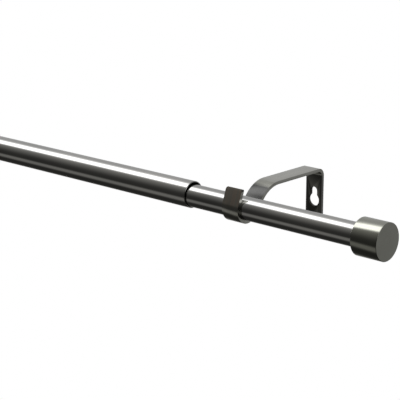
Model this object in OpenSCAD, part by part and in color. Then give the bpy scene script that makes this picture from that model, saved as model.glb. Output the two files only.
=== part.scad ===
// Adjustable curtain rod: two telescoping steel tubes with a cap on each end, lying in two bent-strap wall brackets.
// Millimetres. X runs along the rod, +Y points into the wall and +Z is up. The origin is on the wall's surface, at the
// centre of the round part of the right bracket's keyhole.

/* [Tubes] */
// Outside diameter of the outer tube
outer_tube_d = 19; // [15:0.5:28]
// Wall of the outer tube
outer_tube_wall = 0.8; // [0.6:0.1:1.2]
// Length of the outer tube
outer_tube_len = 660; // [500:5:1500]
// Play across the diameter between the inner tube and the bore of the outer tube
tube_play = 1.4; // [0.6:0.1:2]
// Wall of the inner tube
inner_tube_wall = 0.8; // [0.6:0.1:1.2]
// Length of the inner tube
inner_tube_len = 620; // [350:5:1400]
// Length of the inner tube that shows between the outer tube's mouth and the right cap
inner_tube_shown = 142.5; // [110:0.5:200]

/* [End caps] */
// How far a cap stands proud of the outer tube, all round
cap_proud = 3; // [2.5:0.5:8]
// Length of a cap
cap_len = 19.5; // [18:0.5:40]
// Side wall of a cap
cap_wall = 1.2; // [0.8:0.1:1.5]
// End wall of a cap
cap_end_wall = 1.6; // [1:0.1:2]
// Chamfer round a cap's end face
cap_chamfer = 0.3; // [0.1:0.1:0.6]
// How far a tube goes into its cap
cap_grip = 14; // [11:1:15]
// How far the insert lies inside the cap's rim
insert_recess = 1; // [0.5:0.1:2]
// Thickness of the spigot that the insert puts inside the tube
spigot_wall = 1.6; // [1:0.1:2.5]
// Width of the slots that let the spigot spring
spigot_slot = 1.5; // [1:0.1:2]
// Play between the insert and the tube, all round
insert_play = 0.08; // [0.05:0.01:0.2]

/* [Brackets] */
// Width of the strap
strap_w = 14; // [12:0.5:20]
// Thickness of the strap
strap_t = 2.3; // [1.5:0.1:3.5]
// Distance from the rod's axis to the wall
wall_to_rod = 83.5; // [65:0.5:120]
// Play between a cradle and the tube that lies in it, all round
cradle_play = 0.1; // [0.1:0.05:0.3]
// Gap under a tube at rest in its cradle, and under the inner tube at rest in the outer one
rest_gap = 0.05; // [0.03:0.01:0.1]
// Height of the arm's top above the top of the tube in the cradle
arm_over = 4.8; // [3:0.1:8]
// Distance from the side of the tube to where the arm becomes level
arm_bend_out = 25; // [24:1:32]
// Radius of the arm's top face where it bends up from the ramp to the level
arm_bend_r = 24; // [14:1:26]
// Angle by which the front lip leans in over the tube
lip_lean = 20; // [5:1:22]
// Height of the front lip's tip above the top of the tube
lip_over = 6.4; // [2:0.1:8]
// Radius of the two corners at the front lip's tip
lip_corner_r = 2; // [0.5:0.5:4]
// Inside radius of the bend between the arm and the wall plate
plate_bend_r = 3.5; // [1:0.1:6]
// Distance from the middle of the keyhole's round part down to the plate's lower end
plate_drop = 21.5; // [20:0.5:40]
// Radius of the two corners at the plate's lower end
plate_corner_r = 2; // [0.5:0.5:5]
// Distance from the right bracket's middle to the outer tube's mouth
bracket_to_mouth = 42.5; // [25:0.5:60]
// Distance from the left bracket's middle to the left cap
bracket_to_cap = 100; // [30:1:150]

/* [Wall fixings] */
// Diameter of the keyhole's round part, which passes a screw head
keyhole_d = 9.4; // [8:0.1:10.5]
// Width of the keyhole's slot, which holds a screw shank
keyhole_slot_w = 5.9; // [4:0.1:6]
// Distance from the middle of the keyhole's round part up to the middle of the slot's round end
keyhole_travel = 6.7; // [5:0.1:10]
// Distance from the middle of the cradle down to the middle of the keyhole's round part
keyhole_drop = 11.7; // [8:0.1:16]
// Diameter of the lower screw hole
lower_hole_d = 5; // [3.5:0.1:6]
// Distance from the keyhole's round part down to the lower screw hole
lower_hole_drop = 14.5; // [11:0.5:17]

/* [Set screws] */
// Diameter of a set screw
set_screw_d = 4; // [3:0.5:5]
// Length of a set screw
set_screw_len = 8; // [6:1:12]
// Angle of a set screw below level, at the back of the cradle
set_screw_angle = 44; // [36:1:60]
// Radius of the flat on a set screw's point
set_screw_flat_r = 1.2; // [0.8:0.1:1.4]
// Gap between a set screw's point and its tube
set_screw_gap = 0.15; // [0.1:0.05:0.5]
// Width across the flats of a set screw's hexagon socket
socket_w = 2; // [1.5:0.5:2.5]
// Depth of a set screw's hexagon socket
socket_depth = 2.5; // [1.5:0.5:3]
// Play between a set screw and its hole, all round
thread_play = 0.05; // [0.03:0.01:0.1]

/* [Hidden] */
$fn = 96;
ARC_STEP = 3; // degrees from point to point along a bend of the strap
CUT = 1; // how far a cutting shape runs past the face that it opens
FIT = 0.05; // play of the parts that are pressed together, so that their solids stay apart

inner_tube_d = outer_tube_d - 2 * outer_tube_wall - tube_play;
cap_d = outer_tube_d + 2 * cap_proud;
tube_sink = cradle_play - rest_gap; // how far a resting tube lies below the middle of its cradle
plate_bend_outer_r = plate_bend_r + strap_t;
keyhole_r = keyhole_d / 2;
keyhole_slot_r = keyhole_slot_w / 2;

// Heights of the two cradles and the two tubes, above the origin
right_cradle_z = keyhole_drop;
inner_axis_z = right_cradle_z - tube_sink;
outer_axis_z = inner_axis_z + tube_play / 2 - rest_gap;
left_cradle_z = outer_axis_z + tube_sink;

// Places along the rod
mouth_x = -bracket_to_mouth;
outer_tube_end_x = mouth_x - outer_tube_len;
right_cap_x = mouth_x + inner_tube_shown;
inner_tube_end_x = right_cap_x + cap_grip;
left_cap_x = outer_tube_end_x + cap_grip;
left_bracket_x = left_cap_x + bracket_to_cap;

STEEL = "silver";
DARK_STEEL = "dimgray";
NYLON = "darkslategray";

// Turns a shape drawn round Z so that it lies round X, with its top towards +X
module along_x() {
    rotate([0, 90, 0]) children();
}

// Turns a shape drawn flat, with its height along Z, so that its X is the model's Y and its Y is the model's Z
module in_side_view() {
    rotate([90, 0, 90]) children();
}

// Turns a shape drawn round Z so that it lies on the axis of the set screw, with its top away from the cradle's centre
module along_set_screw() {
    in_side_view() rotate([0, 0, -set_screw_angle]) rotate([0, 90, 0]) children();
}

module at_outer_axis(x) {
    translate([x, -wall_to_rod, outer_axis_z]) children();
}

module at_inner_axis(x) {
    translate([x, -wall_to_rod, inner_axis_z]) children();
}

module at_left_cradle() {
    translate([left_bracket_x, -wall_to_rod, left_cradle_z]) children();
}

module at_right_cradle() {
    translate([0, -wall_to_rod, right_cradle_z]) children();
}

module tube(d, wall, len) {
    along_x() difference() {
        cylinder(d = d, h = len);
        translate([0, 0, -CUT]) cylinder(d = d - 2 * wall, h = len + 2 * CUT);
    }
}

module outer_tube() {
    color(STEEL) at_outer_axis(outer_tube_end_x) tube(outer_tube_d, outer_tube_wall, outer_tube_len);
}

module inner_tube() {
    color(STEEL) at_inner_axis(inner_tube_end_x - inner_tube_len) tube(inner_tube_d, inner_tube_wall, inner_tube_len);
}

// Points of an arc in side view, from angle_from up to but not including angle_to
function arc(centre, r, angle_from, angle_to) =
    let (steps = ceil(abs(angle_to - angle_from) / ARC_STEP))
    [for (i = [0 : steps - 1]) let (angle = angle_from + (angle_to - angle_from) * i / steps)
        centre + r * [cos(angle), sin(angle)]];

function cradle_r(tube_d) = tube_d / 2 + cradle_play;

function arm_rise(tube_d) = tube_d / 2 + arm_over;

// Centre of the arm's bend, from the middle of the cradle
function bend_centre(tube_d) = [tube_d / 2 + arm_bend_out, arm_rise(tube_d) - arm_bend_r];

// Angle at which the strap leaves the cradle for the straight ramp up to the arm's bend, which touches both
function ramp_angle(tube_d) =
    let (bend = bend_centre(tube_d))
    atan2(bend.y, bend.x) - acos((cradle_r(tube_d) + arm_bend_r) / norm(bend));

// The strap in side view from lip tip to lower end, at the given depth under the face that meets the rod and the wall
function strap_face(tube_d, depth) =
    let (
        r = cradle_r(tube_d) + depth,
        lip_foot = r * [-cos(lip_lean), sin(lip_lean)],
        lip_root_z = (cradle_r(tube_d) + strap_t) * sin(lip_lean),
        lip_rise = tube_d / 2 + lip_over - lip_root_z,
        ramp = ramp_angle(tube_d),
        rise = arm_rise(tube_d),
        plate_bend = [wall_to_rod - plate_bend_outer_r, rise - plate_bend_outer_r]
    )
    concat(
        [lip_foot + lip_rise * [tan(lip_lean), 1]],
        arc([0, 0], r, 180 - lip_lean, 360 + ramp),
        [r * [cos(ramp), sin(ramp)]],
        arc(bend_centre(tube_d), arm_bend_r - depth, 180 + ramp, 90),
        [[bend_centre(tube_d).x, rise - depth]],
        arc(plate_bend, plate_bend_outer_r - depth, 90, 0),
        [[wall_to_rod - depth, plate_bend.y], [wall_to_rod - depth, -keyhole_drop - plate_drop]]
    );

module strap(tube_d) {
    upper_face = strap_face(tube_d, 0);
    lower_face = strap_face(tube_d, strap_t);
    last = len(lower_face) - 1;
    in_side_view() translate([0, 0, -strap_w / 2]) linear_extrude(strap_w)
        polygon(concat(upper_face, [for (i = [last : -1 : 0]) lower_face[i]]));
}

// What a round corner of the strap leaves off, drawn from the middle of its radius, for the corner at +X and +Y
module corner_cut(r) {
    difference() {
        square(r + CUT);
        circle(r = r);
    }
}

// Everything cut from the wall plate, as seen from the room, from the middle of the keyhole's round part
module plate_cuts() {
    circle(r = keyhole_r);
    translate([-keyhole_slot_r, 0]) square([keyhole_slot_w, keyhole_travel]);
    translate([0, keyhole_travel]) circle(r = keyhole_slot_r);
    translate([0, -lower_hole_drop]) circle(d = lower_hole_d);
    for (side = [0, 1]) {
        mirror([side, 0]) translate([strap_w / 2 - plate_corner_r, -plate_drop + plate_corner_r])
            mirror([0, 1]) corner_cut(plate_corner_r);
    }
}

// The two corners cut from the lip's tip, as seen from the room, from the middle of the cradle
module lip_cuts(tube_d) {
    for (side = [0, 1]) {
        mirror([side, 0]) translate([strap_w / 2 - lip_corner_r, tube_d / 2 + lip_over - lip_corner_r])
            corner_cut(lip_corner_r);
    }
}

// One strap, bent into lip, cradle, arm and wall plate, for a tube of the given size, with the middle of its cradle at
// the origin
module bracket(tube_d) {
    past_strap = cradle_r(tube_d) + strap_t + CUT;
    difference() {
        strap(tube_d);
        rotate([90, 0, 0]) linear_extrude(past_strap) lip_cuts(tube_d);
        along_set_screw() cylinder(d = set_screw_d + 2 * thread_play, h = past_strap);
        translate([0, wall_to_rod + CUT, -keyhole_drop]) rotate([90, 0, 0])
            linear_extrude(strap_t + 2 * CUT) plate_cuts();
    }
}

module left_bracket() {
    color(STEEL) at_left_cradle() bracket(outer_tube_d);
}

module right_bracket() {
    color(STEEL) at_right_cradle() bracket(inner_tube_d);
}

// A turned cup, with its rim at the origin and its end face towards +X
module cap_shell() {
    r = cap_d / 2;
    along_x() rotate_extrude() polygon([
        [r - cap_wall, 0],
        [r, 0],
        [r, cap_len - cap_chamfer],
        [r - cap_chamfer, cap_len],
        [0, cap_len],
        [0, cap_len - cap_end_wall],
        [r - cap_wall, cap_len - cap_end_wall]
    ]);
}

// A moulded sleeve that fills the cup round a tube of the given size, with a slotted spigot that goes inside the tube
module cap_insert(tube_d, tube_wall) {
    outer_r = cap_d / 2 - cap_wall - FIT;
    tube_seat_r = tube_d / 2 + insert_play;
    spigot_r = tube_d / 2 - tube_wall - insert_play;
    seat = cap_grip + FIT;
    back = cap_len - cap_end_wall - FIT;
    along_x() difference() {
        rotate_extrude() polygon([
            [tube_seat_r, insert_recess],
            [outer_r, insert_recess],
            [outer_r, back],
            [0, back],
            [0, seat],
            [spigot_r - spigot_wall, seat],
            [spigot_r - spigot_wall, insert_recess],
            [spigot_r, insert_recess],
            [spigot_r, seat],
            [tube_seat_r, seat]
        ]);
        for (turn = [0, 90]) {
            rotate([0, 0, turn]) translate([-spigot_r - insert_play / 2, -spigot_slot / 2, 0])
                cube([2 * spigot_r + insert_play, spigot_slot, seat]);
        }
    }
}

module left_cap_shell() {
    color(STEEL) at_outer_axis(left_cap_x) mirror([1, 0, 0]) cap_shell();
}

module right_cap_shell() {
    color(STEEL) at_inner_axis(right_cap_x) cap_shell();
}

module left_cap_insert() {
    color(NYLON) at_outer_axis(left_cap_x) mirror([1, 0, 0]) cap_insert(outer_tube_d, outer_tube_wall);
}

module right_cap_insert() {
    color(NYLON) at_inner_axis(right_cap_x) cap_insert(inner_tube_d, inner_tube_wall);
}

// Distance from the middle of the cradle, along the set screw's axis, at which its flat point would touch the tube
function tube_reach(tube_d) = tube_d / 2 + tube_sink * sin(set_screw_angle);

// A headless screw with a flat point and a hexagon socket, its point just off a tube of the given size
module set_screw(tube_d) {
    r = set_screw_d / 2;
    point_len = r - set_screw_flat_r;
    along_set_screw() translate([0, 0, tube_reach(tube_d) + set_screw_gap]) difference() {
        union() {
            cylinder(r1 = set_screw_flat_r, r2 = r, h = point_len);
            translate([0, 0, point_len]) cylinder(r = r, h = set_screw_len - point_len);
        }
        translate([0, 0, set_screw_len - socket_depth])
            cylinder(d = socket_w / cos(30), h = socket_depth + CUT, $fn = 6);
    }
}

module left_set_screw() {
    color(DARK_STEEL) at_left_cradle() set_screw(outer_tube_d);
}

module right_set_screw() {
    color(DARK_STEEL) at_right_cradle() set_screw(inner_tube_d);
}

outer_tube();
inner_tube();
left_bracket();
right_bracket();
left_cap_shell();
right_cap_shell();
left_cap_insert();
right_cap_insert();
left_set_screw();
right_set_screw();
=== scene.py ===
"""Looks of a telescopic curtain rod in two strap brackets. Metres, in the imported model's frame:
X along the rod, +Y into the wall, +Z up, origin in the right bracket's keyhole, on the wall."""

import math

import bmesh
import bpy
from mathutils import Matrix, Vector


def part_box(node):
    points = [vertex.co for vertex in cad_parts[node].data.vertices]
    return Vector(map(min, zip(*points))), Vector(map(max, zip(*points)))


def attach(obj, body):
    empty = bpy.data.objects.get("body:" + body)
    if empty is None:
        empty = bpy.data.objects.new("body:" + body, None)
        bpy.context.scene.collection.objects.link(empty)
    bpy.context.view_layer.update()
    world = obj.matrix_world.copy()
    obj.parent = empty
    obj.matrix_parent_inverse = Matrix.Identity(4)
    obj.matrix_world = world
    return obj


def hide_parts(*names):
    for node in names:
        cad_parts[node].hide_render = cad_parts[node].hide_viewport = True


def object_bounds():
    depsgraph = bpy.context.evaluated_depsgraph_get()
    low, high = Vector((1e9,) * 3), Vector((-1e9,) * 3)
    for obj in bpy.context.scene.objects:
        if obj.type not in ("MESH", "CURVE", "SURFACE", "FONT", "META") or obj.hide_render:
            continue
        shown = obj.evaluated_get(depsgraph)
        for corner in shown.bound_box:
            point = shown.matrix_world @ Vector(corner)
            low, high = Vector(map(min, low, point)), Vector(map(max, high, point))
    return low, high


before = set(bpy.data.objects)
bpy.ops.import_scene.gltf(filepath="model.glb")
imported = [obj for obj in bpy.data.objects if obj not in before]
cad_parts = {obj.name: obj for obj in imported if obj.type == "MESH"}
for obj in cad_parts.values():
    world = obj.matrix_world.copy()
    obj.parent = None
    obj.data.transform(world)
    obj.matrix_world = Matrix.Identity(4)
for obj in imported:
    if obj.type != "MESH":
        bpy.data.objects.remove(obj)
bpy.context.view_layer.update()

MM = 0.001

# Sizes that the boxes of the nodes don't give
TUBE_WALL = 0.8 * MM
CAP_WALL = 1.2 * MM
CAP_END_WALL = 1.6 * MM
STRAP_T = 2.3 * MM
REST_GAP = 0.05 * MM
CRADLE_PLAY = 0.1 * MM
ARM_OVER = 4.8 * MM
ARM_BEND_OUT = 25 * MM
ARM_BEND_R = 24 * MM
LIP_LEAN = math.radians(20)
LIP_OVER = 6.4 * MM
LIP_CORNER_R = 2 * MM
PLATE_BEND_R = 3.5 * MM
PLATE_CORNER_R = 2 * MM
KEYHOLE_DROP = 11.7 * MM
KEYHOLE_R = 4.7 * MM
KEYHOLE_SLOT_R = 2.95 * MM
KEYHOLE_TRAVEL = 6.7 * MM
LOWER_HOLE_R = 2.5 * MM
LOWER_HOLE_DROP = 14.5 * MM
SET_SCREW_R = 2 * MM
SET_SCREW_LEN = 8 * MM
SET_SCREW_ANGLE = math.radians(44)
SET_SCREW_FLAT_R = 1.2 * MM
SOCKET_W = 2 * MM
SOCKET_DEPTH = 2.5 * MM
THREAD_PITCH = 0.7 * MM
THREAD_DEPTH = 0.36 * MM
THREAD_PLAY = 0.05 * MM
THREAD_RUN_IN = 0.4 * MM
THREAD_RUN_OUT = 0.3 * MM
SCREW_CHAMFER = 0.25 * MM

# Broken edges
TUBE_EDGE = 0.3 * MM
CAP_EDGE = 0.35 * MM
STRAP_EDGE = 0.3 * MM

# Where painted light lies on the strap's nickel, and the stretch over which each change fades
LIP_FADE_Y = (-6.5 * MM, -3 * MM)  # from the rod's axis
LIP_FADE_Z = (1.5 * MM, 4.5 * MM)  # from the rod's axis
# the painted warm reflection on the lip
LIP_PAINTED_REFLECTION = (0.76, 0.63, 0.53)
RAMP_FADE_IN = (8 * MM, 12 * MM)  # in Y from the rod's axis
RAMP_FADE_OUT = (21.5 * MM, 24.5 * MM)  # in Y from the rod's axis
# the painted shade on the ramp
RAMP_PAINTED_SHADE = (0.085, 0.085, 0.083)
RAMP_ROUGHER = 0.14
PLATE_FADE_Y = (-4 * MM, -2.6 * MM)  # from the wall
PLATE_FADE_Z = (18 * MM, 21 * MM)  # from the right bracket's keyhole
# the painted shade on the wall plate
PLATE_PAINTED_SHADE = (0.29, 0.29, 0.27)

# Other tints, and how deep the fine grain is
RUBBED_NICKEL = (0.86, 0.85, 0.83)
CAP_DARK = (0.44, 0.445, 0.39)
CAP_LIGHT = (0.48, 0.485, 0.43)
NYLON_DARK = (0.018, 0.018, 0.02)
NYLON_LIGHT = (0.035, 0.035, 0.038)
METAL_GRAIN_DEPTH = 0.02 * MM
NYLON_GRAIN_DEPTH = 0.03 * MM

# Fineness
ROUND_STEPS = 128
EDGE_STEPS = 4
BEND_STEP = math.radians(2)
CIRCLE_STEPS = 64
SCREW_STEPS = 48
KEYHOLE_STEPS = 56
SLOT_END_STEPS = 24
CORNER_STEPS = 8
THREAD_ROWS = 6  # rows of points in one pitch
CUT_PAST = 1 * MM  # how far a corner's cutter reaches past the strap


class Box:
    """The box of a CAD node at rest, with its centre."""

    def __init__(self, node):
        self.low, self.high = (Vector(corner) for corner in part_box(node))
        self.centre = (self.low + self.high) / 2
        self.size = self.high - self.low


outer_tube = Box("outer_tube")
inner_tube = Box("inner_tube")
OUTER_R = outer_tube.size.z / 2
INNER_R = inner_tube.size.z / 2


# ---------------------------------------------------------------- meshes

def new_object(name, mesh):
    piece = bpy.data.objects.new(name, mesh)
    bpy.context.scene.collection.objects.link(piece)
    return piece


def finish_mesh(mesh, smooth_angle=30):
    bm = bmesh.new()
    bm.from_mesh(mesh)
    bmesh.ops.recalc_face_normals(bm, faces=bm.faces)
    bm.to_mesh(mesh)
    bm.free()
    for face in mesh.polygons:
        face.use_smooth = True
    mesh.set_sharp_from_angle(angle=math.radians(smooth_angle))


def quarter_round(centre, radius, start, steps=EDGE_STEPS):
    """Points of a quarter turn, clockwise from the angle start, in degrees."""
    turns = [math.radians(start - 90 * i / steps) for i in range(steps + 1)]
    return [(centre[0] + radius * math.cos(a), centre[1] + radius * math.sin(a)) for a in turns]


def turned(name, loop, centre, side=1):
    """A closed loop of (x, radius) points turned about the X axis through centre; side=-1 mirrors it in X."""
    vertices, faces = [], []
    count = len(loop)
    for step in range(ROUND_STEPS):
        angle = 2 * math.pi * step / ROUND_STEPS
        for x, radius in loop:
            vertices.append((
                centre.x + side * x,
                centre.y + radius * math.cos(angle),
                centre.z + radius * math.sin(angle),
            ))
    for step in range(ROUND_STEPS):
        following = (step + 1) % ROUND_STEPS
        for i in range(count):
            j = (i + 1) % count
            corners = (step * count + i, step * count + j, following * count + j, following * count + i)
            faces.append(corners)
    mesh = bpy.data.meshes.new(name)
    mesh.from_pydata(vertices, [], faces)
    bm = bmesh.new()
    bm.from_mesh(mesh)
    bmesh.ops.remove_doubles(bm, verts=bm.verts, dist=1e-6)
    bm.to_mesh(mesh)
    bm.free()
    finish_mesh(mesh)
    return new_object(name, mesh)


def tube(name, box, radius, wall):
    """A cut tube with its edges broken inside and outside."""
    start, end = -box.size.x / 2, box.size.x / 2
    bore = radius - wall
    edge = TUBE_EDGE
    loop = []
    loop += quarter_round((start + edge, radius - edge), edge, 180)
    loop += quarter_round((end - edge, radius - edge), edge, 90)
    loop += quarter_round((end - edge, bore + edge), edge, 0)
    loop += quarter_round((start + edge, bore + edge), edge, 270)
    return turned(name, loop, box.centre)


def cap_shell(name, box, side):
    """A turned cup with its rim towards the rod and its end face outward."""
    radius, length = box.size.z / 2, box.size.x
    rim = Vector((box.low.x if side > 0 else box.high.x, box.centre.y, box.centre.z))
    bore, floor = radius - CAP_WALL, length - CAP_END_WALL
    loop = quarter_round((CAP_EDGE, radius - CAP_EDGE), CAP_EDGE, 180)
    loop += quarter_round((length - CAP_EDGE, radius - CAP_EDGE), CAP_EDGE, 90)
    loop += [(length, 0), (floor, 0), (floor, bore)]
    loop += quarter_round((CAP_EDGE, bore + CAP_EDGE), CAP_EDGE, 270)
    return turned(name, loop, rim, side)


def arc(centre, radius, start, end):
    """Points from start up to but not including end, in radians."""
    steps = math.ceil(abs(end - start) / BEND_STEP)
    turns = [start + (end - start) * i / steps for i in range(steps)]
    return [(centre[0] + radius * math.cos(a), centre[1] + radius * math.sin(a)) for a in turns]


def strap_face(tube_r, depth, wall_y, foot_z):
    """The strap in side view, as (y, z) from the centre of the cradle, at this depth under its inner face."""
    cradle_r = tube_r + CRADLE_PLAY
    radius, rise = cradle_r + depth, tube_r + ARM_OVER
    lip_rise = tube_r + LIP_OVER - (cradle_r + STRAP_T) * math.sin(LIP_LEAN)
    bend_y, bend_z = tube_r + ARM_BEND_OUT, rise - ARM_BEND_R
    ramp = math.atan2(bend_z, bend_y) - math.acos((cradle_r + ARM_BEND_R) / math.hypot(bend_y, bend_z))
    plate_r = PLATE_BEND_R + STRAP_T
    points = [(
        -radius * math.cos(LIP_LEAN) + lip_rise * math.tan(LIP_LEAN),
        radius * math.sin(LIP_LEAN) + lip_rise,
    )]
    points += arc((0, 0), radius, math.pi - LIP_LEAN, 2 * math.pi + ramp)
    points += [(radius * math.cos(ramp), radius * math.sin(ramp))]
    points += arc((bend_y, bend_z), ARM_BEND_R - depth, math.pi + ramp, math.pi / 2)
    points += [(bend_y, rise - depth)]
    points += arc((wall_y - plate_r, rise - plate_r), plate_r - depth, math.pi / 2, 0)
    points += [(wall_y - depth, rise - plate_r), (wall_y - depth, foot_z)]
    return points


def prism(name, outline, length, matrix):
    """A closed outline in X and Y pulled out along Z, centred on its plane."""
    bm = bmesh.new()
    for z in (-length / 2, length / 2):
        for x, y in outline:
            bm.verts.new((x, y, z))
    bm.verts.ensure_lookup_table()
    count = len(outline)
    bm.faces.new([bm.verts[i] for i in reversed(range(count))])
    bm.faces.new([bm.verts[count + i] for i in range(count)])
    for i in range(count):
        j = (i + 1) % count
        bm.faces.new([bm.verts[k] for k in (i, j, count + j, count + i)])
    bmesh.ops.transform(bm, matrix=matrix, verts=bm.verts)
    bmesh.ops.recalc_face_normals(bm, faces=bm.faces)
    mesh = bpy.data.meshes.new(name)
    bm.to_mesh(mesh)
    bm.free()
    return new_object(name, mesh)


def circle(centre, radius, steps=CIRCLE_STEPS):
    turns = [2 * math.pi * i / steps for i in range(steps)]
    return [(centre[0] + radius * math.cos(a), centre[1] + radius * math.sin(a)) for a in turns]


def keyhole_outline(x, z):
    """One closed outline of a keyhole whose round part is centred at (x, z)."""
    half = math.asin(KEYHOLE_SLOT_R / KEYHOLE_R)
    start, end = math.pi / 2 + half, 2 * math.pi + math.pi / 2 - half
    points = []
    for i in range(KEYHOLE_STEPS + 1):
        a = start + (end - start) * i / KEYHOLE_STEPS
        points.append((x + KEYHOLE_R * math.cos(a), z + KEYHOLE_R * math.sin(a)))
    for i in range(SLOT_END_STEPS + 1):
        a = math.pi * i / SLOT_END_STEPS
        points.append((x + KEYHOLE_SLOT_R * math.cos(a), z + KEYHOLE_TRAVEL + KEYHOLE_SLOT_R * math.sin(a)))
    return points


def corner_outline(x, z, side, up, r):
    """What a rounded corner at (x, z) leaves off; side and up are the directions of the corner in X and Z."""
    points = [(x + side * CUT_PAST, z + up * CUT_PAST), (x - side * r, z + up * CUT_PAST)]
    for i in range(CORNER_STEPS + 1):
        a = math.radians(90 - 90 * i / CORNER_STEPS)
        points.append((x - side * r + side * r * math.cos(a), z - up * r + up * r * math.sin(a)))
    points.append((x + side * CUT_PAST, z - up * r))
    return points


def cut(piece, cutters, material):
    """Cuts holes with the exact solver; the cut faces take the material."""
    for cutter in cutters:
        cutter.data.materials.append(material)
        modifier = piece.modifiers.new("cut", "BOOLEAN")
        modifier.operation = "DIFFERENCE"
        modifier.solver = "EXACT"
        modifier.material_mode = "TRANSFER"
        modifier.object = cutter


def apply_modifiers(piece):
    depsgraph = bpy.context.evaluated_depsgraph_get()
    mesh = bpy.data.meshes.new_from_object(piece.evaluated_get(depsgraph))
    piece.modifiers.clear()
    piece.data = mesh


def screw_turn():
    """Turns +Z to the way a set screw backs out: towards the wall and down."""
    return Matrix.Rotation(-math.pi / 2 - SET_SCREW_ANGLE, 4, "X")


def bracket(name, box, tube_r, cradle_z, axis_y, strap_metal, cut_faces_shaded_metal):
    """The bent strap with its holes, every edge broken."""
    x0, wall_y = box.centre.x, box.high.y - axis_y
    foot_z = box.low.z - cradle_z
    upper, lower = strap_face(tube_r, 0, wall_y, foot_z), strap_face(tube_r, STRAP_T, wall_y, foot_z)
    vertices, faces = [], []
    half = box.size.x / 2
    for x in (x0 - half, x0 + half):
        for face in (upper, lower):
            vertices += [(x, axis_y + y, cradle_z + z) for y, z in face]
    n = len(upper)
    left_upper, left_lower, right_upper, right_lower = 0, n, 2 * n, 3 * n
    for i in range(n - 1):
        for a, b in (
            (left_upper, left_lower), (left_lower, right_lower),
            (right_lower, right_upper), (right_upper, left_upper),
        ):
            faces.append((a + i, a + i + 1, b + i + 1, b + i))
    for i in (0, n - 1):
        faces.append((left_upper + i, left_lower + i, right_lower + i, right_upper + i))
    mesh = bpy.data.meshes.new(name)
    mesh.from_pydata(vertices, [], faces)
    finish_mesh(mesh)
    mesh.materials.append(strap_metal)
    piece = new_object(name, mesh)

    keyhole_z = cradle_z - KEYHOLE_DROP
    to_plate = Matrix.Translation((0, box.high.y - STRAP_T / 2, 0)) @ Matrix.Rotation(math.pi / 2, 4, "X")
    through = 3 * STRAP_T
    cutters = [
        prism("cut_keyhole", keyhole_outline(x0, keyhole_z), through, to_plate),
        prism("cut_lower_hole", circle((x0, keyhole_z - LOWER_HOLE_DROP), LOWER_HOLE_R), through, to_plate),
    ]
    to_lip = Matrix.Translation((0, axis_y - tube_r / 2, 0)) @ Matrix.Rotation(math.pi / 2, 4, "X")
    tip_z = cradle_z + tube_r + LIP_OVER
    for side in (-1, 1):
        plate_corner = corner_outline(x0 + side * half, box.low.z, side, -1, PLATE_CORNER_R)
        cutters.append(prism("cut_plate_corner", plate_corner, through, to_plate))
        lip_corner = corner_outline(x0 + side * half, tip_z, side, 1, LIP_CORNER_R)
        cutters.append(prism("cut_lip_corner", lip_corner, tube_r, to_lip))
    along_screw = Matrix.Translation((x0, axis_y, cradle_z)) @ screw_turn()
    hole_mid = Matrix.Translation((0, 0, tube_r + CRADLE_PLAY + STRAP_T / 2))
    hole = circle((0, 0), SET_SCREW_R + THREAD_PLAY, SCREW_STEPS)
    cutters.append(prism("cut_screw_hole", hole, through, along_screw @ hole_mid))
    # The cut faces of the holes and of the rounded corners take the rough sheared metal, its very dark tone
    # painted shade.
    cut(piece, cutters, cut_faces_shaded_metal)
    bevel = piece.modifiers.new("edges", "BEVEL")
    bevel.width = STRAP_EDGE
    bevel.segments = 3
    bevel.limit_method = "ANGLE"
    bevel.angle_limit = math.radians(40)
    apply_modifiers(piece)
    for cutter in cutters:
        bpy.data.objects.remove(cutter)
    finish_mesh(piece.data, 32)
    return piece


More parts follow.
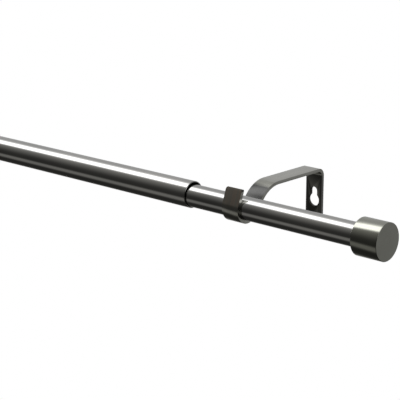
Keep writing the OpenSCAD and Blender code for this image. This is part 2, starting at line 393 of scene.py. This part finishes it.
def set_screw(name, box, cradle_z, axis_y):
    """A headless screw with a cut thread, a flat point and a hexagon socket."""
    place = Matrix.Translation((box.centre.x, axis_y, cradle_z)) @ screw_turn()
    out = (screw_turn() @ Vector((0, 0, 1))).normalized()
    middle = Vector((box.centre.x, (box.low.y + box.high.y) / 2, (box.low.z + box.high.z) / 2))
    centre_out = (middle - Vector((box.centre.x, axis_y, cradle_z))).dot(out)
    start = centre_out - SET_SCREW_LEN / 2
    point = SET_SCREW_R - SET_SCREW_FLAT_R
    rings = []
    for radius in (SET_SCREW_FLAT_R * 0.5, SET_SCREW_FLAT_R):
        rings.append([(x, y, start) for x, y in circle((0, 0), radius, SCREW_STEPS)])
    thread_rows = round((SET_SCREW_LEN - point) / THREAD_PITCH * THREAD_ROWS)
    for row in range(thread_rows + 1):
        z = point + (SET_SCREW_LEN - point) * row / thread_rows
        to_end = SET_SCREW_LEN - z
        fade = max(0, min(1, (z - point) / THREAD_RUN_IN, to_end / THREAD_RUN_OUT))
        loop = []
        for i in range(SCREW_STEPS):
            turn = i / SCREW_STEPS
            phase = (z / THREAD_PITCH - turn) % 1
            groove = 1 - abs(2 * phase - 1)
            radius = SET_SCREW_R - THREAD_DEPTH * groove * fade
            if to_end < SCREW_CHAMFER:
                radius = min(radius, SET_SCREW_R - (SCREW_CHAMFER - to_end))
            a = 2 * math.pi * turn
            loop.append((radius * math.cos(a), radius * math.sin(a), start + z))
        rings.append(loop)
    for z in (SET_SCREW_LEN, SET_SCREW_LEN - SOCKET_DEPTH):
        loop = []
        for i in range(SCREW_STEPS):
            a = 2 * math.pi * i / SCREW_STEPS
            within = (a + math.pi / 6) % (math.pi / 3) - math.pi / 6
            radius = SOCKET_W / 2 / math.cos(within)
            loop.append((radius * math.cos(a), radius * math.sin(a), start + z))
        rings.append(loop)
    vertices = [corner for loop in rings for corner in loop]
    faces = []
    for row in range(len(rings) - 1):
        below, above = row * SCREW_STEPS, (row + 1) * SCREW_STEPS
        for i in range(SCREW_STEPS):
            j = (i + 1) % SCREW_STEPS
            faces.append((below + i, below + j, above + j, above + i))
    for row in (0, len(rings) - 1):
        vertices.append((0, 0, rings[row][0][2]))
        for i in range(SCREW_STEPS):
            j = (i + 1) % SCREW_STEPS
            faces.append((row * SCREW_STEPS + i, row * SCREW_STEPS + j, len(vertices) - 1))
    mesh = bpy.data.meshes.new(name)
    mesh.from_pydata(vertices, [], faces)
    mesh.transform(place)
    finish_mesh(mesh, 25)
    return new_object(name, mesh)


# ---------------------------------------------------------------- materials

def new_material(name):
    material = bpy.data.materials.new(name)
    material.use_nodes = True
    nodes, links = material.node_tree.nodes, material.node_tree.links
    return material, nodes, links, nodes["Principled BSDF"]


def stretched_noise(nodes, links, scale, detail=4.0, rough=0.6):
    """Noise in the object's own metres, stretched by a different scale on each axis."""
    place = nodes.new("ShaderNodeTexCoord")
    mapping = nodes.new("ShaderNodeMapping")
    mapping.inputs["Scale"].default_value = scale
    noise = nodes.new("ShaderNodeTexNoise")
    noise.inputs["Scale"].default_value = 1.0
    noise.inputs["Detail"].default_value = detail
    noise.inputs["Roughness"].default_value = rough
    links.new(place.outputs["Object"], mapping.inputs["Vector"])
    links.new(mapping.outputs["Vector"], noise.inputs["Vector"])
    return noise.outputs["Fac"]


def spread(nodes, links, value, low, high, from_low=0.3, from_high=0.7):
    """Maps a value from from_low..from_high to low..high."""
    node = nodes.new("ShaderNodeMapRange")
    node.inputs["From Min"].default_value = from_low
    node.inputs["From Max"].default_value = from_high
    node.inputs["To Min"].default_value = low
    node.inputs["To Max"].default_value = high
    links.new(value, node.inputs["Value"])
    return node.outputs["Result"]


def mixed(nodes, links, factor, dark, light):
    """A colour between dark and light."""
    node = nodes.new("ShaderNodeMix")
    node.data_type = "RGBA"
    node.inputs["A"].default_value = (*dark, 1)
    node.inputs["B"].default_value = (*light, 1)
    links.new(factor, node.inputs["Factor"])
    return node.outputs["Result"]


def tinted(nodes, links, base, factor, tint):
    """A colour with a tint laid over it by a factor."""
    node = nodes.new("ShaderNodeMix")
    node.data_type = "RGBA"
    node.inputs["B"].default_value = (*tint, 1)
    links.new(factor, node.inputs["Factor"])
    links.new(base, node.inputs["A"])
    return node.outputs["Result"]


def add_relief(nodes, links, shader, height, strength, depth):
    relief = nodes.new("ShaderNodeBump")
    relief.inputs["Strength"].default_value = strength
    relief.inputs["Distance"].default_value = depth
    links.new(height, relief.inputs["Height"])
    links.new(relief.outputs["Normal"], shader.inputs["Normal"])


def multiplied(nodes, links, first, second):
    node = nodes.new("ShaderNodeMath")
    node.operation = "MULTIPLY"
    links.new(first, node.inputs[0])
    links.new(second, node.inputs[1])
    return node.outputs[0]


def brushed_metal(name, dark, light, grain, cloud, roughness, bump, wear=0.12):
    """Brushed nickel: fine grain along one way, slow clouds of tint, and edges rubbed a little brighter."""
    material, nodes, links, shader = new_material(name)
    shader.inputs["Metallic"].default_value = 1.0
    fine = stretched_noise(nodes, links, grain)
    slow = stretched_noise(nodes, links, cloud, 2.0, 0.5)
    tint = mixed(nodes, links, spread(nodes, links, slow, 0, 1), dark, light)

    geometry = nodes.new("ShaderNodeNewGeometry")
    edge = spread(nodes, links, geometry.outputs["Pointiness"], 0, wear, 0.53, 0.60)
    links.new(tinted(nodes, links, tint, edge, RUBBED_NICKEL), shader.inputs["Base Color"])

    both = nodes.new("ShaderNodeMath")
    both.operation = "ADD"
    links.new(spread(nodes, links, fine, roughness[0], roughness[1]), both.inputs[0])
    links.new(spread(nodes, links, slow, -0.02, 0.03), both.inputs[1])
    links.new(both.outputs[0], shader.inputs["Roughness"])

    add_relief(nodes, links, shader, fine, bump, METAL_GRAIN_DEPTH)
    return material


def strap_metal_with_painted_light(name, axis_y, axis_z):
    """Nickel with streaks along the strap, with painted light on it: a painted warm reflection on the lip, painted
    shade on the ramp, which is also rougher, and painted shade on the wall plate.
    """
    material = brushed_metal(
        name, (0.49, 0.49, 0.44), (0.575, 0.575, 0.515),
        grain=(1500, 40, 40), cloud=(200, 60, 60), roughness=(0.09, 0.15), bump=0.09, wear=0.3,
    )
    nodes, links = material.node_tree.nodes, material.node_tree.links
    shader = nodes["Principled BSDF"]
    plain = shader.inputs["Base Color"].links[0].from_socket
    smooth = shader.inputs["Roughness"].links[0].from_socket
    place = nodes.new("ShaderNodeTexCoord")
    split = nodes.new("ShaderNodeSeparateXYZ")
    links.new(place.outputs["Object"], split.inputs[0])
    facing = nodes.new("ShaderNodeSeparateXYZ")
    links.new(place.outputs["Normal"], facing.inputs[0])

    # The lip's faces towards the room get a painted warm reflection, in streaks along the strap.
    front = spread(nodes, links, split.outputs["Y"], 1, 0, axis_y + LIP_FADE_Y[0], axis_y + LIP_FADE_Y[1])
    over = spread(nodes, links, split.outputs["Z"], 0, 1, axis_z + LIP_FADE_Z[0], axis_z + LIP_FADE_Z[1])
    outside = spread(nodes, links, facing.outputs["Y"], 1, 0, -0.8, -0.3)
    lip = multiplied(nodes, links, multiplied(nodes, links, front, over), outside)
    streaks = spread(nodes, links, stretched_noise(nodes, links, (900, 25, 25), 3.0, 0.6), 0.15, 1, 0.35, 0.65)
    lip_reflected = tinted(nodes, links, plain, multiplied(nodes, links, lip, streaks), LIP_PAINTED_REFLECTION)

    # The ramp up to the arm, away from its side edges, gets painted shade, and more roughness further down.
    up = spread(nodes, links, split.outputs["Y"], 0, 1, axis_y + RAMP_FADE_IN[0], axis_y + RAMP_FADE_IN[1])
    down = spread(nodes, links, split.outputs["Y"], 1, 0, axis_y + RAMP_FADE_OUT[0], axis_y + RAMP_FADE_OUT[1])
    sideways = nodes.new("ShaderNodeMath")
    sideways.operation = "ABSOLUTE"
    links.new(facing.outputs["X"], sideways.inputs[0])
    not_edge = spread(nodes, links, sideways.outputs[0], 1, 0, 0.3, 0.9)
    ramp = multiplied(nodes, links, multiplied(nodes, links, up, down), not_edge)
    ramp_shaded = tinted(nodes, links, lip_reflected, ramp, RAMP_PAINTED_SHADE)

    # The wall plate, up to just under the bend, gets painted shade.
    behind = spread(nodes, links, split.outputs["Y"], 0, 1, *PLATE_FADE_Y)
    below = spread(nodes, links, split.outputs["Z"], 1, 0, *PLATE_FADE_Z)
    plate = multiplied(nodes, links, behind, below)
    links.new(tinted(nodes, links, ramp_shaded, plate, PLATE_PAINTED_SHADE), shader.inputs["Base Color"])

    rougher = nodes.new("ShaderNodeMath")
    rougher.operation = "MULTIPLY_ADD"
    rougher.inputs[1].default_value = RAMP_ROUGHER
    links.new(ramp, rougher.inputs[0])
    links.new(smooth, rougher.inputs[2])
    links.new(rougher.outputs[0], shader.inputs["Roughness"])
    return material


def turned_metal(name, centre, dark, light):
    """The cap's nickel: rings round the axis on its face, and fine lathe lines round its side."""
    material, nodes, links, shader = new_material(name)
    shader.inputs["Metallic"].default_value = 1.0
    place = nodes.new("ShaderNodeTexCoord")
    from_axis = nodes.new("ShaderNodeVectorMath")
    from_axis.operation = "SUBTRACT"
    from_axis.inputs[1].default_value = centre
    links.new(place.outputs["Object"], from_axis.inputs[0])
    split = nodes.new("ShaderNodeSeparateXYZ")
    links.new(from_axis.outputs[0], split.inputs[0])
    flat = nodes.new("ShaderNodeCombineXYZ")
    links.new(split.outputs["Y"], flat.inputs["Y"])
    links.new(split.outputs["Z"], flat.inputs["Z"])
    distance = nodes.new("ShaderNodeVectorMath")
    distance.operation = "LENGTH"
    links.new(flat.outputs[0], distance.inputs[0])
    along = nodes.new("ShaderNodeCombineXYZ")
    links.new(distance.outputs["Value"], along.inputs["X"])
    links.new(split.outputs["X"], along.inputs["Y"])
    scaled = nodes.new("ShaderNodeVectorMath")
    scaled.operation = "SCALE"
    scaled.inputs["Scale"].default_value = 2600
    links.new(along.outputs[0], scaled.inputs[0])
    lines = nodes.new("ShaderNodeTexNoise")
    lines.inputs["Scale"].default_value = 1.0
    lines.inputs["Detail"].default_value = 3.0
    links.new(scaled.outputs[0], lines.inputs["Vector"])
    slow = stretched_noise(nodes, links, (60, 90, 90), 2.0, 0.5)
    ring_tint = mixed(nodes, links, spread(nodes, links, slow, 0, 1), dark, light)
    links.new(ring_tint, shader.inputs["Base Color"])
    links.new(spread(nodes, links, lines.outputs["Fac"], 0.07, 0.15), shader.inputs["Roughness"])
    add_relief(nodes, links, shader, lines.outputs["Fac"], 0.35, METAL_GRAIN_DEPTH)
    return material


def nylon(name):
    """Black moulded nylon with a fine matt grain."""
    material, nodes, links, shader = new_material(name)
    grain = stretched_noise(nodes, links, (2500, 2500, 2500), 3.0)
    links.new(mixed(nodes, links, grain, NYLON_DARK, NYLON_LIGHT), shader.inputs["Base Color"])
    links.new(spread(nodes, links, grain, 0.42, 0.58), shader.inputs["Roughness"])
    add_relief(nodes, links, shader, grain, 0.3, NYLON_GRAIN_DEPTH)
    return material


# ---------------------------------------------------------------- pieces

def place(piece, node, body, slot, material=None):
    """Puts a finished piece on its body in place of its CAD node; one that has its material gives none."""
    if material:
        piece.data.materials.append(material)
    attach(piece, body)
    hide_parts(node)


def build():
    tube_metal = brushed_metal(
        "tube_nickel", (0.56, 0.56, 0.55), (0.66, 0.65, 0.63),
        grain=(6, 1500, 1500), cloud=(14, 60, 60), roughness=(0.06, 0.11), bump=0.05,
    )
    axis_y = outer_tube.centre.y
    strap_metal = strap_metal_with_painted_light("strap_nickel", axis_y, inner_tube.centre.z)
    # Rough sheared steel on the cut faces; its very dark tone is painted shade in the holes.
    cut_faces_shaded_metal = brushed_metal(
        "cut_face_nickel_painted_shade", (0.07, 0.066, 0.06), (0.13, 0.125, 0.115),
        grain=(600, 40, 600), cloud=(120, 120, 120), roughness=(0.35, 0.5), bump=0.3,
    )
    black_oxide = brushed_metal(
        "screw_black_oxide", (0.05, 0.05, 0.055), (0.11, 0.11, 0.115),
        grain=(900, 900, 900), cloud=(200, 200, 200), roughness=(0.30, 0.42), bump=0.15, wear=0.4,
    )
    black_nylon = nylon("insert_nylon")

    outer = tube("outer_tube_polished", outer_tube, OUTER_R, TUBE_WALL)
    place(outer, "outer_tube", "outer_rod", "tube_metal", tube_metal)
    inner = tube("inner_tube_polished", inner_tube, INNER_R, TUBE_WALL)
    place(inner, "inner_tube", "inner_rod", "tube_metal", tube_metal)

    for side, name, held, tube_r in ((-1, "left", outer_tube, OUTER_R), (1, "right", inner_tube, INNER_R)):
        bracket_box = Box(name + "_bracket")
        shell_box = Box(name + "_cap_shell")
        screw_box = Box(name + "_set_screw")
        cradle_z = held.centre.z + CRADLE_PLAY - REST_GAP
        strap = bracket(name + "_bracket_strap", bracket_box, tube_r, cradle_z, axis_y, strap_metal, cut_faces_shaded_metal)
        place(strap, name + "_bracket", name + "_bracket", "bracket_metal")
        cap_metal = turned_metal(name + "_cap_nickel", shell_box.centre, CAP_DARK, CAP_LIGHT)
        cap = cap_shell(name + "_cap_turned", shell_box, side)
        place(cap, name + "_cap_shell", name + "_cap", "cap_metal", cap_metal)
        screw = set_screw(name + "_set_screw_threaded", screw_box, cradle_z, axis_y)
        place(screw, name + "_set_screw", name + "_set_screw", "screw_steel", black_oxide)
        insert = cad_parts[name + "_cap_insert"]
        for slot in insert.material_slots:
            slot.material = black_nylon


# ---------------------------------------------------------------- studio

CAMERA_YAW = math.radians(42.531)
CAMERA_PITCH = math.radians(15.495)
CAMERA_ROLL = math.radians(-0.111)
CAMERA_DISTANCE = 0.9
CAMERA_LENS = 116.754


def make_camera():
    """Looks at a point by the outer tube's mouth, from the room's side, right of the rod and above it."""
    mouth = Vector((outer_tube.high.x, outer_tube.centre.y, outer_tube.centre.z))
    target = mouth + Vector((3.77, 2.6, -3.7)) * MM
    look = Vector((
        -math.sin(CAMERA_YAW) * math.cos(CAMERA_PITCH),
        math.cos(CAMERA_YAW) * math.cos(CAMERA_PITCH),
        -math.sin(CAMERA_PITCH),
    ))
    camera = bpy.data.objects.new("camera", bpy.data.cameras.new("camera"))
    bpy.context.scene.collection.objects.link(camera)
    camera.data.lens = CAMERA_LENS
    camera.data.sensor_width = 36
    turn = look.to_track_quat("-Z", "Y").to_matrix().to_4x4()
    camera.matrix_world = (
        Matrix.Translation(target - CAMERA_DISTANCE * look) @ turn @ Matrix.Rotation(CAMERA_ROLL, 4, "Z")
    )
    bpy.context.scene.camera = camera


# How bright the studio is round the rod's axis: degrees from the wall (0) over the top (90) to the room (180)
STUDIO = (
    (-180, 0.034), (-166, 0.030), (-161, 0.032), (-154, 0.10), (-149, 0.18), (-134, 0.18),
    (-128, 0.11), (-119, 0.032), (-104, 0.022), (-72, 0.03), (-56, 0.11), (-41, 0.24),
    (-32, 0.42), (-10, 0.46), (20, 0.45), (50, 0.45), (60, 0.48), (68, 0.60),
    (74, 0.88), (80, 1.35), (86, 2.30), (109, 2.30), (114, 1.45), (119, 0.45),
    (126, 0.25), (136, 0.18), (148, 0.125), (160, 0.075), (170, 0.046), (180, 0.034),
)
STUDIO_PEAK = 2.3
STUDIO_DARK = 0.3  # the stops below this have the shade's tint
STUDIO_SHADE = (1.0, 0.99, 0.94)
LEFT_END = -0.42  # the X of a direction up to which the light is full
MIDDLE = -0.2  # the X of a direction from which it is down to MIDDLE_LIGHT
MIDDLE_LIGHT = 0.5
WHITE = (1, 1, 1, 1)


def make_world():
    """A soft box overhead, a pale wall behind and a dark room in front, all fuller at the left.
    The camera itself sees plain white."""
    world = bpy.data.worlds.new("studio")
    bpy.context.scene.world = world
    world.use_nodes = True
    nodes, links = world.node_tree.nodes, world.node_tree.links
    nodes.clear()
    place = nodes.new("ShaderNodeTexCoord")
    split = nodes.new("ShaderNodeSeparateXYZ")
    angle = nodes.new("ShaderNodeMath")
    angle.operation = "ARCTAN2"
    links.new(place.outputs["Generated"], split.inputs[0])
    links.new(split.outputs["Z"], angle.inputs[0])
    links.new(split.outputs["Y"], angle.inputs[1])
    turn = nodes.new("ShaderNodeMapRange")
    turn.inputs["From Min"].default_value = -math.pi
    turn.inputs["From Max"].default_value = math.pi
    links.new(angle.outputs[0], turn.inputs["Value"])
    ramp = nodes.new("ShaderNodeValToRGB")
    stops = ramp.color_ramp.elements
    while len(stops) > 1:
        stops.remove(stops[-1])
    for i, (degrees, light) in enumerate(STUDIO):
        position = (degrees + 180) / 360
        stop = stops[0] if i == 0 else stops.new(position)
        stop.position = position
        level = light / STUDIO_PEAK
        tint = STUDIO_SHADE if light < STUDIO_DARK else WHITE
        stop.color = (level * tint[0], level * tint[1], level * tint[2], 1)
    links.new(turn.outputs["Result"], ramp.inputs["Fac"])

    full, half = STUDIO_PEAK, MIDDLE_LIGHT * STUDIO_PEAK
    strength = spread(nodes, links, split.outputs["X"], full, half, LEFT_END, MIDDLE)
    lit = nodes.new("ShaderNodeBackground")
    links.new(ramp.outputs["Color"], lit.inputs["Color"])
    links.new(strength, lit.inputs["Strength"])
    seen = nodes.new("ShaderNodeBackground")
    seen.inputs["Color"].default_value = WHITE
    path = nodes.new("ShaderNodeLightPath")
    choose = nodes.new("ShaderNodeMixShader")
    links.new(path.outputs["Is Camera Ray"], choose.inputs["Fac"])
    links.new(lit.outputs[0], choose.inputs[1])
    links.new(seen.outputs[0], choose.inputs[2])
    output = nodes.new("ShaderNodeOutputWorld")
    links.new(choose.outputs[0], output.inputs["Surface"])


FLOOR_SIZE = 14
FLOOR_DROP = 0.3


def make_floor():
    """A plain white floor well under the rod. The metal doesn't mirror it, and it is clear from below."""
    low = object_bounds()[0]
    bpy.ops.mesh.primitive_plane_add(size=FLOOR_SIZE, location=(0, 0, low.z - FLOOR_DROP))
    floor = bpy.context.object
    floor.name = "floor"
    material = bpy.data.materials.new("floor_white")
    material.use_nodes = True
    nodes, links = material.node_tree.nodes, material.node_tree.links
    nodes.clear()
    seen = nodes.new("ShaderNodeEmission")
    seen.inputs["Color"].default_value = WHITE
    clear = nodes.new("ShaderNodeBsdfTransparent")
    path = nodes.new("ShaderNodeLightPath")
    geometry = nodes.new("ShaderNodeNewGeometry")
    above = spread(nodes, links, geometry.outputs["Backfacing"], 1, 0, 0, 1)
    choose = nodes.new("ShaderNodeMixShader")
    links.new(multiplied(nodes, links, path.outputs["Is Camera Ray"], above), choose.inputs["Fac"])
    links.new(clear.outputs[0], choose.inputs[1])
    links.new(seen.outputs[0], choose.inputs[2])
    output = nodes.new("ShaderNodeOutputMaterial")
    links.new(choose.outputs[0], output.inputs["Surface"])
    floor.data.materials.append(material)


build()
make_camera()
make_world()
make_floor()
bpy.context.scene.view_settings.view_transform = "Standard"
